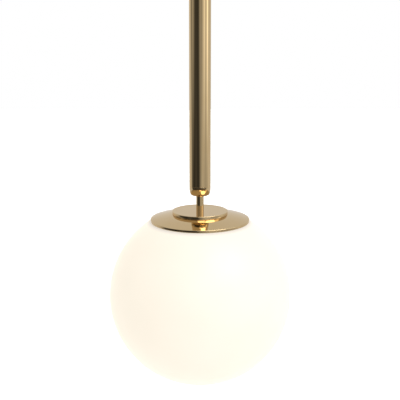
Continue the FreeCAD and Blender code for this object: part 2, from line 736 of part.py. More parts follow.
def socket_core():
    """Ceramic insert with a contact well in its underside."""
    turned("socket_core", GLOBE, [
        (0, 74.5), (9.0, 74.5), (9.0, 71.0), (17.9, 71.0), (17.9, 84.0), (13.0, 84.0), (13.0, 87.0),
        (0, 87.0)])


def socket_thread():
    """Threaded metal sleeve hung from the insert."""
    turned("socket_thread", GLOBE, [
        (size.sleeve_thread_inner, 48.6), (size.sleeve_thread_radius, 48.6),
        (size.sleeve_thread_radius, 70.95), (size.sleeve_thread_inner, 70.95)])


def socket_contact():
    """Sprung centre contact inside the well."""
    blade = cuboid(-4.0, -2.0, GLOBE + 71.6, 8.0, 4.0, 0.5)
    stalk = cylinder(1.5, 2.3, 0, 0, GLOBE + 72.1)
    finish("socket_contact", fused([blade, stalk]))


# ---------------------------------------------------------------- lamp

def lamp_contact():
    turned("lamp_contact", GLOBE, [(0, 69.9), (4.8, 69.9), (3.6, 71.2), (0, 71.4)])


def lamp_insulator():
    turned("lamp_insulator", GLOBE, [(0, 67.4), (12.0, 67.4), (6.0, 69.85), (0, 69.85)])


def lamp_cap():
    """The screw cap's shell."""
    wall = 0.6
    radius = size.lamp_cap_radius
    turned("lamp_cap", GLOBE, [
        (radius - wall, 44.5), (radius, 44.5), (radius, 65.6), (12.0, 67.35), (12.0 - wall, 67.35),
        (radius - wall, 65.2)])


def lamp_collar():
    """Moulded lower half of the lamp, flaring out from the cap."""
    radius = size.lamp_radius
    turned("lamp_collar", GLOBE, [
        (0, 12.0), (radius - 1.2, 12.0), (radius - 0.4, 16.0, 52.0), (14.0, 44.0), (12.5, 44.4),
        (12.5, 62.0), (0, 62.0)])


def lamp_diffuser():
    """Opal dome of the lamp."""
    radius = size.lamp_radius
    middle = size.lamp_bottom + radius
    turned("lamp_diffuser", GLOBE, [
        (0, size.lamp_bottom + 1.2), (0, size.lamp_bottom, radius), (radius, middle), (radius - 0.8, 11.9),
        (radius - 2.2, 11.9), (radius - 1.2, middle, 1.2 - radius)])


# ---------------------------------------------------------------- globe

def glass_globe():
    """Blown opal ball, ground flat where it meets the cover."""
    outer, inner, top = size.globe_radius, size.globe_radius - size.globe_wall, size.globe_rim_height
    turned("glass_globe", GLOBE, [
        (0, -outer, outer), (root(outer * outer - top * top), top),
        (root(inner * inner - top * top), top, -inner), (0, -inner)])


for make in (ceiling_plate, canopy, canopy_screws, earth_screw, earth_washer, terminal_block,
             terminal_screws, block_screw, swivel_yoke, yoke_screws, yoke_pins, swivel_ring,
             ring_pins, swivel_hub, hub_screws, canopy_wires, rod_cable, rod, sleeve,
             sleeve_top_cap, sleeve_end_cap, sleeve_screws, trim_disc, globe_cover, clamp_washer,
             glass_holder, clamp_nut, spring_clips, spring_rivets, cover_gasket, socket_cap,
             socket_grip_screws, socket_shell, socket_core, socket_thread, socket_contact,
             lamp_contact, lamp_insulator, lamp_cap, lamp_collar, lamp_diffuser, glass_globe):
    make()
doc.recompute()

for thing in doc.Objects:
    if "Invalid" in thing.State or "Error" in thing.State:
        raise RuntimeError("%s did not recompute: %s" % (thing.Label, thing.State))
for part in parts:
    if part.Shape.isNull() or not part.Shape.isValid() or part.Shape.Volume <= 0:
        raise RuntimeError("%s has no valid shape" % part.Label)

os.makedirs("parts", exist_ok=True)
for part in parts:
    part.Shape.exportStep("parts/%s.step" % part.Label)
    print("%-20s %3d solid(s) %12.1f mm3" % (part.Label, len(part.Shape.Solids), part.Shape.Volume))
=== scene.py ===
import json
import math

import bmesh
import bpy
from mathutils import Matrix, Vector


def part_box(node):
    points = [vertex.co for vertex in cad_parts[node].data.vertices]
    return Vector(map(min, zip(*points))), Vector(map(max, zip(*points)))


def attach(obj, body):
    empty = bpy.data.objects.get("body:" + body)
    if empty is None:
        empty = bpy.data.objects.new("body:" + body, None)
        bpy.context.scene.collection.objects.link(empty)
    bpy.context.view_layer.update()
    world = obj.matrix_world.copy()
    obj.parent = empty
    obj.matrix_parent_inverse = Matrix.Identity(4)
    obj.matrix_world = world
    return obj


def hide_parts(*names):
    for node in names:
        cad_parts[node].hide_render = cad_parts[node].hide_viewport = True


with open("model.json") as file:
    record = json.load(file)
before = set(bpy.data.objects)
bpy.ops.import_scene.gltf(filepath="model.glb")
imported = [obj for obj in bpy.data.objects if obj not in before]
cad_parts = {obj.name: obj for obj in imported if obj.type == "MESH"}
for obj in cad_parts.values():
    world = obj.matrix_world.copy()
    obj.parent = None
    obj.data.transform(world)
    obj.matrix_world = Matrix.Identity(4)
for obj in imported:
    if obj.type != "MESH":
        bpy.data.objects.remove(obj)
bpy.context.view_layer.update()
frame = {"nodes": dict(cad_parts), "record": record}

# Pendant ceiling light. Lengths in this script are millimetres until a piece is made;
# heights called "level" are measured from the globe's centre.
MM = 0.001
GLOBE_RADIUS = 125.0
GLOBE_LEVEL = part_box("glass_globe")[0].z / MM + GLOBE_RADIUS


def low_of(node):
    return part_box(node)[0].z / MM


def high_of(node):
    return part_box(node)[1].z / MM


def at_level(height):
    return GLOBE_LEVEL + height


# ------------------------------------------------------------------ materials

def new_material(name, colour, metallic=0.0, roughness=0.5, **sockets):
    material = bpy.data.materials.new(name)
    material.use_nodes = True
    shader = material.node_tree.nodes["Principled BSDF"]
    shader.inputs["Base Color"].default_value = (*colour, 1.0)
    shader.inputs["Metallic"].default_value = metallic
    shader.inputs["Roughness"].default_value = roughness
    for socket, value in sockets.items():
        shader.inputs[socket.replace("_", " ")].default_value = value
    return material


def add_node(material, kind, **values):
    node = material.node_tree.nodes.new(kind)
    for name, value in values.items():
        if hasattr(node, name):
            setattr(node, name, value)
        else:
            node.inputs[name.replace("_", " ")].default_value = value
    return node


def link(material, source, output, target, socket):
    material.node_tree.links.new(source.outputs[output], target.inputs[socket])


def shader_of(material):
    return material.node_tree.nodes["Principled BSDF"]


def place(material, stretch=(1.0, 1.0, 1.0)):
    """Object coordinates, in metres, with each axis stretched."""
    coordinates = add_node(material, "ShaderNodeTexCoord")
    mapping = add_node(material, "ShaderNodeMapping")
    mapping.inputs["Scale"].default_value = stretch
    link(material, coordinates, "Object", mapping, "Vector")
    return mapping


def noise(material, grain_mm, detail=4.0, stretch=(1.0, 1.0, 1.0), rough=0.5):
    """Cloudy noise whose patches are about grain_mm across."""
    texture = add_node(material, "ShaderNodeTexNoise", Scale=1.0 / (grain_mm * MM), Detail=detail,
                       Roughness=rough)
    link(material, place(material, stretch), "Vector", texture, "Vector")
    return texture


def vary_roughness(material, texture, low, high):
    spread = add_node(material, "ShaderNodeMapRange", From_Min=0.3, From_Max=0.7, To_Min=low, To_Max=high)
    link(material, texture, "Fac", spread, "Value")
    link(material, spread, "Result", shader_of(material), "Roughness")


def vary_colour(material, texture, first, second):
    ramp = add_node(material, "ShaderNodeValToRGB")
    ramp.color_ramp.elements[0].position = 0.35
    ramp.color_ramp.elements[0].color = (*first, 1.0)
    ramp.color_ramp.elements[1].position = 0.65
    ramp.color_ramp.elements[1].color = (*second, 1.0)
    link(material, texture, "Fac", ramp, "Fac")
    link(material, ramp, "Color", shader_of(material), "Base Color")


def roughen(material, texture, depth_mm, strength=1.0):
    bump = add_node(material, "ShaderNodeBump", Strength=strength, Distance=depth_mm * MM)
    link(material, texture, "Fac", bump, "Height")
    link(material, bump, "Normal", shader_of(material), "Normal")


def polished_brass():
    """Mirror-polished, lacquered light brass: faint clouding, faint turned polishing lines."""
    material = new_material("polished_brass", (0.605, 0.450, 0.245), 1.0, 0.03,
                            Specular_Tint=(1.0, 0.96, 0.90, 1.0))
    vary_colour(material, noise(material, 22.0, 3.0), (0.598, 0.443, 0.238), (0.612, 0.457, 0.252))
    vary_roughness(material, noise(material, 9.0, 6.0, rough=0.62), 0.015, 0.04)
    roughen(material, noise(material, 0.9, 2.0, stretch=(0.35, 0.35, 2.5)), 0.0004)
    return material


def plain_brass():
    material = new_material("plain_brass", (0.62, 0.46, 0.22), 1.0, 0.3)
    vary_colour(material, noise(material, 3.0), (0.58, 0.42, 0.19), (0.68, 0.52, 0.27))
    vary_roughness(material, noise(material, 1.2), 0.22, 0.42)
    roughen(material, noise(material, 0.15, stretch=(1, 1, 6)), 0.01)
    return material


def zinc_steel():
    """Passivated zinc plate: cool grey with a faint yellow and blue spangle."""
    material = new_material("zinc_steel", (0.55, 0.56, 0.57), 1.0, 0.35)
    vary_colour(material, noise(material, 6.0, 5.0), (0.50, 0.52, 0.56), (0.62, 0.60, 0.53))
    vary_roughness(material, noise(material, 2.0, 5.0), 0.26, 0.46)
    roughen(material, noise(material, 0.25, 5.0), 0.012)
    return material


def bright_steel():
    material = new_material("bright_steel", (0.66, 0.66, 0.66), 1.0, 0.2)
    vary_colour(material, noise(material, 2.5), (0.60, 0.60, 0.61), (0.72, 0.71, 0.70))
    vary_roughness(material, noise(material, 0.8, 5.0), 0.14, 0.32)
    roughen(material, noise(material, 0.12, stretch=(5, 1, 1)), 0.006)
    return material


def nickel():
    material = new_material("nickel", (0.70, 0.66, 0.58), 1.0, 0.18)
    vary_colour(material, noise(material, 4.0), (0.66, 0.62, 0.54), (0.75, 0.72, 0.66))
    vary_roughness(material, noise(material, 1.5, 5.0), 0.12, 0.3)
    roughen(material, noise(material, 0.2), 0.006)
    return material


def moulding(name, colour, shade, roughness, grain_depth=0.02):
    """Injection-moulded plastic with a fine spark-eroded grain."""
    material = new_material(name, colour, 0.0, roughness)
    vary_colour(material, noise(material, 14.0), colour, shade)
    vary_roughness(material, noise(material, 5.0, 5.0), roughness - 0.06, roughness + 0.08)
    roughen(material, noise(material, 0.35, 3.0), grain_depth)
    return material


def white_ceramic():
    material = new_material("white_ceramic", (0.86, 0.84, 0.79), 0.0, 0.22, Coat_Weight=0.4,
                            Coat_Roughness=0.08)
    vary_colour(material, noise(material, 7.0), (0.88, 0.86, 0.81), (0.82, 0.80, 0.75))
    roughen(material, noise(material, 2.2, 3.0), 0.03)
    return material


# Levels between which painted shade darkens the glass's glow, close under the cover.
COVER_SHADE_LOW, COVER_SHADE_HIGH = 101.0, 105.0


def opal_glass():
    """Opal glass with a satin skin: milky, slightly warm, glowing evenly, with painted shade darkening the
    glow beside the cover.
    """
    material = new_material("opal_glass", (0.20, 0.19, 0.19), 0.0, 0.34, Specular_IOR_Level=0.2,
                            Emission_Strength=0.75)
    vary_colour(material, noise(material, 60.0, 3.0), (0.196, 0.184, 0.186), (0.204, 0.192, 0.196))
    vary_roughness(material, noise(material, 18.0, 5.0), 0.30, 0.38)
    roughen(material, noise(material, 26.0, 2.0), 0.05, 0.6)
    split = add_node(material, "ShaderNodeSeparateXYZ")
    link(material, place(material), "Vector", split, "Vector")
    # Painted shade: between the two levels the emitted colour turns darker and greyer towards the cover,
    # standing in for the shadow under its rim.
    height = add_node(material, "ShaderNodeMapRange", From_Min=at_level(COVER_SHADE_LOW) * MM,
                      From_Max=at_level(COVER_SHADE_HIGH) * MM)
    link(material, split, "Z", height, "Value")
    glow_and_painted_shade = add_node(material, "ShaderNodeValToRGB")
    glow_and_painted_shade.color_ramp.interpolation = "EASE"
    glow_and_painted_shade.color_ramp.elements[0].color = (1.0, 0.915, 0.737, 1.0)
    glow_and_painted_shade.color_ramp.elements[1].color = (0.74, 0.68, 0.58, 1.0)
    link(material, height, "Result", glow_and_painted_shade, "Fac")
    link(material, glow_and_painted_shade, "Color", shader_of(material), "Emission Color")
    return material


def lamp_opal():
    material = new_material("lamp_opal", (0.70, 0.69, 0.65), 0.0, 0.4, Subsurface_Weight=0.4,
                            Subsurface_Scale=0.004)
    vary_colour(material, noise(material, 16.0), (0.70, 0.69, 0.65), (0.67, 0.66, 0.61))
    roughen(material, noise(material, 0.5), 0.01)
    return material


def clear_silicone():
    material = new_material("clear_silicone", (0.78, 0.78, 0.74), 0.0, 0.45, Subsurface_Weight=0.3,
                            Subsurface_Scale=0.002)
    vary_colour(material, noise(material, 8.0), (0.78, 0.78, 0.74), (0.70, 0.70, 0.66))
    roughen(material, noise(material, 0.6), 0.02)
    return material


def black_glass():
    material = new_material("black_glass", (0.02, 0.018, 0.022), 0.0, 0.12)
    vary_colour(material, noise(material, 3.0), (0.015, 0.014, 0.018), (0.04, 0.035, 0.045))
    roughen(material, noise(material, 1.5), 0.03)
    return material


def sheath(name, colour, shade):
    material = new_material(name, colour, 0.0, 0.48)
    vary_colour(material, noise(material, 12.0), colour, shade)
    roughen(material, noise(material, 0.8, 3.0), 0.03)
    return material


def wire_colours():
    """Brown, blue and green insulation, told apart by where each core lies across the lamp."""
    material = sheath("wire_colours", (0.2, 0.1, 0.05), (0.2, 0.1, 0.05))
    split = add_node(material, "ShaderNodeSeparateXYZ")
    link(material, place(material), "Vector", split, "Vector")
    across = add_node(material, "ShaderNodeMapRange", From_Min=-0.0016, From_Max=0.0016)
    link(material, split, "X", across, "Value")
    ramp = add_node(material, "ShaderNodeValToRGB")
    ramp.color_ramp.interpolation = "CONSTANT"
    ramp.color_ramp.elements[0].color = (0.16, 0.065, 0.025, 1.0)
    ramp.color_ramp.elements[1].position = 0.66
    ramp.color_ramp.elements[1].color = (0.03, 0.10, 0.42, 1.0)
    middle = ramp.color_ramp.elements.new(0.34)
    middle.color = (0.12, 0.33, 0.06, 1.0)
    link(material, across, "Result", ramp, "Fac")
    link(material, ramp, "Color", shader_of(material), "Base Color")
    return material


MATERIALS = {
    "polished_brass": polished_brass(),
    "plain_brass": plain_brass(),
    "zinc_steel": zinc_steel(),
    "bright_steel": bright_steel(),
    "nickel": nickel(),
    "white_nylon": moulding("white_nylon", (0.80, 0.79, 0.74), (0.76, 0.75, 0.69), 0.42),
    "white_ceramic": white_ceramic(),
    "black_moulding": moulding("black_moulding", (0.022, 0.022, 0.024), (0.032, 0.031, 0.03), 0.46, 0.03),
    "clear_silicone": clear_silicone(),
    "opal_glass": opal_glass(),
    "lamp_opal": lamp_opal(),
    "lamp_plastic": moulding("lamp_plastic", (0.62, 0.62, 0.60), (0.58, 0.58, 0.55), 0.36, 0.012),
    "black_glass": black_glass(),
    "wire_sheath": wire_colours(),
    "cable_sheath": sheath("cable_sheath", (0.76, 0.75, 0.72), (0.70, 0.69, 0.66)),
}


# ------------------------------------------------------------------ mesh helpers

SHARP_ANGLE = math.radians(32)


def new_piece(name, vertices, faces, body, nodes, slot):
    """A piece from millimetre points; edges sharper than SHARP_ANGLE stay crisp."""
    mesh = bpy.data.meshes.new(name)
    mesh.from_pydata([Vector(v) * MM for v in vertices], [], faces)
    shape = bmesh.new()
    shape.from_mesh(mesh)
    bmesh.ops.remove_doubles(shape, verts=shape.verts, dist=1e-7)
    bmesh.ops.dissolve_degenerate(shape, edges=shape.edges, dist=1e-8)
    bmesh.ops.recalc_face_normals(shape, faces=shape.faces)
    for face in shape.faces:
        face.smooth = True
    for edge in shape.edges:
        edge.smooth = edge.calc_face_angle(0.0) < SHARP_ANGLE
    shape.to_mesh(mesh)
    shape.free()
    piece = bpy.data.objects.new(name, mesh)
    bpy.context.scene.collection.objects.link(piece)
    mesh.materials.append(MATERIALS[slot])
    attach(piece, body)
    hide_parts(*nodes)
    return piece


def arc(centre, radius, start, end, steps=8):
    """Points on an arc, angles in degrees from +radius towards +height."""
    points = []
    for i in range(steps + 1):
        angle = math.radians(start + (end - start) * i / steps)
        points.append((centre[0] + radius * math.cos(angle), centre[1] + radius * math.sin(angle)))
    return points


HOLD = 0.05


def outline(*runs):
    """A closed outline of corners (tuples) and arcs (lists). Straight edges get a point close to each end,
    so that smooth shading stays inside the rounded corners."""
    lists = [run if isinstance(run, list) else [run] for run in runs]
    points = []
    for i, run in enumerate(lists):
        points += run
        start, end = Vector(run[-1]), Vector(lists[(i + 1) % len(lists)][0])
        length = (end - start).length
        if length > 8 * HOLD:
            along = (end - start) / length * HOLD
            points += [tuple(start + along), tuple(end - along)]
    return points


def lathe_mesh(points, segments=160, radius_at=None):
    """Vertices and faces of a closed outline turned about Z."""
    vertices, faces = [], []
    count = len(points)
    for i in range(segments):
        angle = 2 * math.pi * i / segments
        for radius, height in points:
            swept = radius_at(radius, height, angle) if radius_at else radius
            vertices.append((swept * math.cos(angle), swept * math.sin(angle), height))
    for i in range(segments):
        here, there = i * count, (i + 1) % segments * count
        for j in range(count):
            k = (j + 1) % count
            faces.append((here + j, there + j, there + k, here + k))
    return vertices, faces


def lathe(name, points, body, slot, segments=160, base=0.0, radius_at=None, nodes=None):
    vertices, faces = lathe_mesh(points, segments, radius_at)
    raised = [(x, y, z + base) for x, y, z in vertices]
    return new_piece(name, raised, faces, body, nodes or [name], slot)


def moved(mesh, transform):
    vertices, faces = mesh
    return [tuple(transform @ Vector(v)) for v in vertices], faces


def joined(meshes):
    vertices, faces = [], []
    for more_vertices, more_faces in meshes:
        start = len(vertices)
        vertices += more_vertices
        faces += [tuple(start + index for index in face) for face in more_faces]
    return vertices, faces


# ------------------------------------------------------------------ rod, sleeve and caps

SLEEVE_RADIUS, SLEEVE_WALL = 14.5, 1.2
ROD_RADIUS, ROD_BORE, ROD_EDGE = 5.2, 3.6, 0.4
ROD_GAP = 0.05             # from the rod to the bore of whatever sits on it
CUT_EDGE = 0.08            # a turned edge that is barely broken
SLEEVE_SEGMENTS = 192
CAP_HEIGHT, CAP_FACE_RADIUS, CAP_SPIGOT = 13.0, 9.37, 8.0
CAP_CORNER_HEIGHT, CAP_CORNER_RADIUS, CAP_CORNER_TILT = 3.8, 4.6, 10.0
CAP_SHOULDER_RADIUS, CAP_SWELL_HEIGHT, CAP_SWELL_RADIUS = 13.9, 9.5, 36.5
CAP_SEAM_STEP, CAP_WAIST_STEP, CAP_WAIST_STEPS = 0.045, 0.035, 6
CAP_BORE_GAP, CAP_SPIGOT_GAP, CAP_LEAD_IN = 0.06, 0.05, 0.5
# Shading of the rounded end: its tilt where the corner starts, and how early it rises below the seam.
CAP_SOFT_TILT, CAP_SOFT_RISE = 30.0, 0.6


def make_tube(name, inner, outer, edge, segments):
    """A tube of the node's own length with its outer corners broken."""
    low, high = low_of(name), high_of(name)
    lathe(name, outline(
        (inner, low), (outer - edge, low), (outer, low + edge), (outer, high - edge),
        (outer - edge, high), (inner, high)), "pendant", "polished_brass", segments)


def make_sleeve_cap(name, seam, outward):
    """A turned plug; outward is -1 for the lower cap, whose rounded end points down, and 1 for the upper."""
    bore, spigot = ROD_RADIUS + CAP_BORE_GAP, SLEEVE_RADIUS - SLEEVE_WALL - CAP_SPIGOT_GAP
    lean = math.radians(CAP_CORNER_TILT)
    corner = arc((CAP_FACE_RADIUS, CAP_HEIGHT - CAP_CORNER_RADIUS), CAP_CORNER_RADIUS,
                 90, CAP_CORNER_TILT, 16)
    swell_centre = (CAP_SHOULDER_RADIUS - CAP_SWELL_RADIUS * math.cos(lean),
                    CAP_HEIGHT - CAP_CORNER_HEIGHT - CAP_SWELL_RADIUS * math.sin(lean))
    swell = arc(swell_centre, CAP_SWELL_RADIUS, CAP_CORNER_TILT - 0.6, 1.0, 10)
    waist = []
    for step in range(CAP_WAIST_STEPS + 1):
        radius = SLEEVE_RADIUS - CAP_SEAM_STEP + CAP_WAIST_STEP * step / CAP_WAIST_STEPS
        level = (CAP_HEIGHT - CAP_SWELL_HEIGHT) * (1 - step / CAP_WAIST_STEPS) + CUT_EDGE
        waist.append((radius, level))
    points = outline((bore, CAP_HEIGHT - CAP_LEAD_IN), (bore + CAP_LEAD_IN, CAP_HEIGHT),
                     corner + swell + waist, (SLEEVE_RADIUS - CUT_EDGE, 0), (spigot, 0),
                     (spigot, -CAP_SPIGOT), (bore, -CAP_SPIGOT))
    turned = [(radius, outward * level) for radius, level in points]
    piece = lathe(name, turned, "pendant", "polished_brass", SLEEVE_SEGMENTS, base=seam)
    soften_end(piece, seam, outward)


def soften_end(piece, seam, outward):
    """Spreads the rounded end's shading up to the seam, as a polished, slightly rolled-over end has it."""
    mesh = piece.data
    normals = [corner.vector.copy() for corner in mesh.corner_normals]
    for polygon in mesh.polygons:
        middle = polygon.center / MM
        away = Vector((middle.x, middle.y, 0))
        flat_or_inside = abs(polygon.normal.z) > 0.9999 or polygon.normal.dot(away) <= 0
        if flat_or_inside or away.length < CAP_FACE_RADIUS or (middle.z - seam) * outward < 0.1:
            continue
        for loop in polygon.loop_indices:
            point = mesh.vertices[mesh.loops[loop].vertex_index].co / MM
            height = CAP_HEIGHT - (point.z - seam) * outward
            if height > CAP_CORNER_HEIGHT:
                share = max(CAP_HEIGHT - height, 0.0) / (CAP_HEIGHT - CAP_CORNER_HEIGHT)
                tilt = CAP_SOFT_TILT * share ** CAP_SOFT_RISE
            else:
                real = math.degrees(math.asin(min(1.0, 1.0 - height / CAP_CORNER_RADIUS)))
                share = (real - CAP_CORNER_TILT) / (90 - CAP_CORNER_TILT)
                tilt = CAP_SOFT_TILT + (90 - CAP_SOFT_TILT) * max(share, 0.0)
            tilt = math.radians(max(tilt, 0.0))
            around = Vector((point.x, point.y, 0)).normalized()
            normals[loop] = around * math.cos(tilt) + Vector((0, 0, outward * math.sin(tilt)))
    mesh.normals_split_custom_set(normals)


# ------------------------------------------------------------------ discs over the globe

TRIM_RADIUS, TRIM_EDGE = 37.8, 0.5
COVER_RADIUS, COVER_EDGE = 67.3, 0.5
COVER_RIM_LOW, COVER_RIM_HIGH, COVER_RIM_WIDTH = 105.0, 108.5, 5.0
LAND_RADIUS, LAND_LEVEL, COVER_WALL = 37.2, 115.0, 1.6


def make_trim_disc():
    low, high = low_of("trim_disc"), high_of("trim_disc")
    inside = TRIM_RADIUS - TRIM_EDGE
    lathe("trim_disc", outline(
        (ROD_RADIUS + ROD_GAP, low), arc((inside, low + TRIM_EDGE), TRIM_EDGE, -90, 0, 5),
        arc((inside, high - TRIM_EDGE), TRIM_EDGE, 0, 90, 5), (ROD_RADIUS + ROD_GAP, high)),
        "pendant", "polished_brass", 224)


def dome_arc(outer, inner, steps):
    """Arc of a dome centred on the lamp's axis, from the outer to the inner (radius, level) point."""
    centre = (outer[0] ** 2 - inner[0] ** 2 + outer[1] ** 2 - inner[1] ** 2) / (2 * (outer[1] - inner[1]))
    radius = math.hypot(outer[0], outer[1] - centre)
    start = math.degrees(math.atan2(outer[1] - centre, outer[0]))
    end = math.degrees(math.atan2(inner[1] - centre, inner[0]))
    return arc((0.0, centre), radius, start, end, steps)


def make_globe_cover():
    """A shallow dome with a flat land for the trim disc and a thick rim."""
    rim_inner = COVER_RADIUS - COVER_RIM_WIDTH
    inside = COVER_RADIUS - COVER_EDGE
    bore = ROD_RADIUS + ROD_GAP
    under = LAND_LEVEL - COVER_WALL
    lathe("globe_cover", outline(
        (bore, under), dome_arc((LAND_RADIUS - 0.6, under), (rim_inner, COVER_RIM_LOW + 3.0), 12),
        (rim_inner, COVER_RIM_LOW), arc((inside, COVER_RIM_LOW + COVER_EDGE), COVER_EDGE, -90, 0, 5),
        arc((inside, COVER_RIM_HIGH - COVER_EDGE), COVER_EDGE, 0, 78, 5),
        dome_arc((inside + 0.1, COVER_RIM_HIGH - 0.01), (LAND_RADIUS, LAND_LEVEL), 24), (bore, LAND_LEVEL)),
        "pendant", "polished_brass", 256, base=GLOBE_LEVEL)


# ------------------------------------------------------------------ globe

GLOBE_WALL, GLOBE_RIM, RIM_ROUND = 3.0, 104.4, 0.7


def make_globe():
    """Opal ball with an even wall and a ground, slightly rounded rim."""
    inner = GLOBE_RADIUS - GLOBE_WALL
    rim_level = GLOBE_RIM - RIM_ROUND * 0.5
    outer_end = math.degrees(math.asin(rim_level / GLOBE_RADIUS))
    inner_end = math.degrees(math.asin(rim_level / inner))
    outer_rim = math.sqrt(GLOBE_RADIUS ** 2 - GLOBE_RIM ** 2)
    inner_rim = math.sqrt(inner ** 2 - GLOBE_RIM ** 2)
    outside = arc((0, 0), GLOBE_RADIUS, -90, outer_end, 96)
    inside = arc((0, 0), inner, inner_end, -90, 72)
    points = outside + [(outer_rim - RIM_ROUND, GLOBE_RIM), (inner_rim + RIM_ROUND, GLOBE_RIM)] + inside
    lathe("glass_globe", points, "globe", "opal_glass", 192, base=GLOBE_LEVEL)


# ------------------------------------------------------------------ canopy

CANOPY_RADIUS, CANOPY_WALL, CANOPY_CORNER, CANOPY_HOLE = 60.0, 1.2, 6.0, 12.5


def make_canopy():
    low, high = low_of("canopy"), high_of("canopy")
    inner = CANOPY_RADIUS - CANOPY_WALL
    bend = CANOPY_CORNER - CANOPY_WALL
    lip = CANOPY_WALL / 2
    lathe("canopy", outline(
        arc((CANOPY_HOLE + lip, low + lip), lip, 90, 270, 8),
        arc((CANOPY_RADIUS - CANOPY_CORNER, low + CANOPY_CORNER), CANOPY_CORNER, -90, 0, 14),
        (CANOPY_RADIUS, high - 0.2), (CANOPY_RADIUS - 0.2, high), (inner, high),
        arc((CANOPY_RADIUS - CANOPY_CORNER, low + CANOPY_CORNER), bend, 0, -90, 10)),
        "root", "polished_brass", 224)


def make_canopy_screws():
    """Knurled thumb screws through the canopy's sides, with a turned collar and a domed end."""
    head, length, shank = 4.2, 3.2, 1.97
    seat, reach = CANOPY_RADIUS + 0.05, 9.0
    points = outline(
        (0, -reach), (shank - 0.3, -reach), (shank, -reach + 0.3), (shank, 0), (head - 0.9, 0),
        (head - 0.8, 0.35), (head, 0.6), (head, length - 0.5), (head - 0.5, length - 0.05),
        (0.9, length), (0, length))

    def knurled(radius, height, angle):
        ridge = 0.13 * math.cos(36 * angle) if radius > head - 0.2 and 0.4 < height < length else 0.0
        return radius - 0.13 + ridge if ridge else radius

    screw = lathe_mesh(points, 216, knurled)
    drop = (low_of("canopy_screws") + high_of("canopy_screws")) / 2
    screws = []
    for side in (1, -1):
        outwards = Matrix.Rotation(side * math.pi / 2, 4, "Y")
        screws.append(moved(screw, Matrix.Translation((side * seat, 0, drop)) @ outwards))
    new_piece("canopy_screws", *joined(screws), "root", ["canopy_screws"], "polished_brass")


# ------------------------------------------------------------------ glass holder

SPRING_OUT, SPRING_WIDTH, SPRING_THICK, SPRING_COUNT = 25.0, 12.0, 0.8, 3


def spring_path(seat):
    """Smooth centre line of one leaf spring, through its bends."""
    corners = [(19.0, seat), (38.0, seat), (53.5, seat - 10.0), (60.2, seat - 12.5), (73.0, seat - 18.5),
               (74.2, seat - 20.3), (66.0, seat - 31.0), (61.5, seat - 33.0)]
    curve = bpy.data.curves.new("spring_path", "CURVE")
    spline = curve.splines.new("NURBS")
    spline.points.add(len(corners) - 1)
    for point, (out, height) in zip(spline.points, corners):
        point.co = (out, 0, height, 1)
    spline.order_u = 3
    spline.use_endpoint_u = True
    spline.resolution_u = 8
    holder = bpy.data.objects.new("spring_path", curve)
    line = [tuple(v.co) for v in bpy.data.meshes.new_from_object(holder).vertices]
    bpy.data.objects.remove(holder)
    return line


def strip_mesh(line):
    """A thin strip along a line in the XZ plane, with its free ends rounded in plan."""
    vertices, faces = [], []
    total = len(line)
    ring = 8
    bevel, deep, round_off = 0.15, SPRING_THICK / 2, SPRING_WIDTH / 2
    run = [0.0]
    for near, far in zip(line, line[1:]):
        run.append(run[-1] + math.dist(near, far))
    for i, (out, _, height) in enumerate(line):
        back, ahead = line[max(i - 1, 0)], line[min(i + 1, total - 1)]
        dx, dz = ahead[0] - back[0], ahead[2] - back[2]
        size = math.hypot(dx, dz)
        nx, nz = -dz / size, dx / size
        from_end = min(run[i], run[-1] - run[i])
        half = math.sqrt(max(round_off ** 2 - max(round_off - from_end, 0) ** 2, 0.04))
        for across, up in ((-half, -deep + bevel), (-half + bevel, -deep), (half - bevel, -deep),
                           (half, -deep + bevel), (half, deep - bevel), (half - bevel, deep),
                           (-half + bevel, deep), (-half, deep - bevel)):
            vertices.append((out + nx * up, across, height + nz * up))
    for i in range(total - 1):
        for j in range(ring):
            k = (j + 1) % ring
            faces.append((i * ring + j, i * ring + k, (i + 1) * ring + k, (i + 1) * ring + j))
    faces.append(tuple(range(ring)))
    faces.append(tuple((total - 1) * ring + j for j in reversed(range(ring))))
    return vertices, faces


def make_springs():
    seat = high_of("spring_clips") - SPRING_THICK / 2
    strip = strip_mesh(spring_path(seat))
    turns = [Matrix.Rotation(2 * math.pi * i / SPRING_COUNT, 4, "Z") for i in range(SPRING_COUNT)]
    new_piece("spring_clips", *joined([moved(strip, turn) for turn in turns]), "pendant", ["spring_clips"],
              "bright_steel")


def make_spring_rivets():
    """Domed rivets through the springs and the holder."""
    low, high = low_of("spring_rivets"), high_of("spring_rivets")
    head = 2.7
    points = outline((0, low), arc((0, low + 2.0), 2.0, -90, -60, 4), (head, low + 0.55), (head, low + 0.78),
                     (1.57, low + 0.8), (1.57, high - 0.7), (2.6, high - 0.7), (2.6, high - 0.3),
                     (2.0, high), (0, high))
    rivet = lathe_mesh(points, 40)
    rivets = []
    for i in range(SPRING_COUNT):
        turn = 2 * math.pi * i / SPRING_COUNT
        centre = (SPRING_OUT * math.cos(turn), SPRING_OUT * math.sin(turn), 0)
        rivets.append(moved(rivet, Matrix.Translation(centre)))
    new_piece("spring_rivets", *joined(rivets), "pendant", ["spring_rivets"], "bright_steel")


# ------------------------------------------------------------------ lampholder and lamp

THREAD_LEAD = 3.629
FLUTES = 36


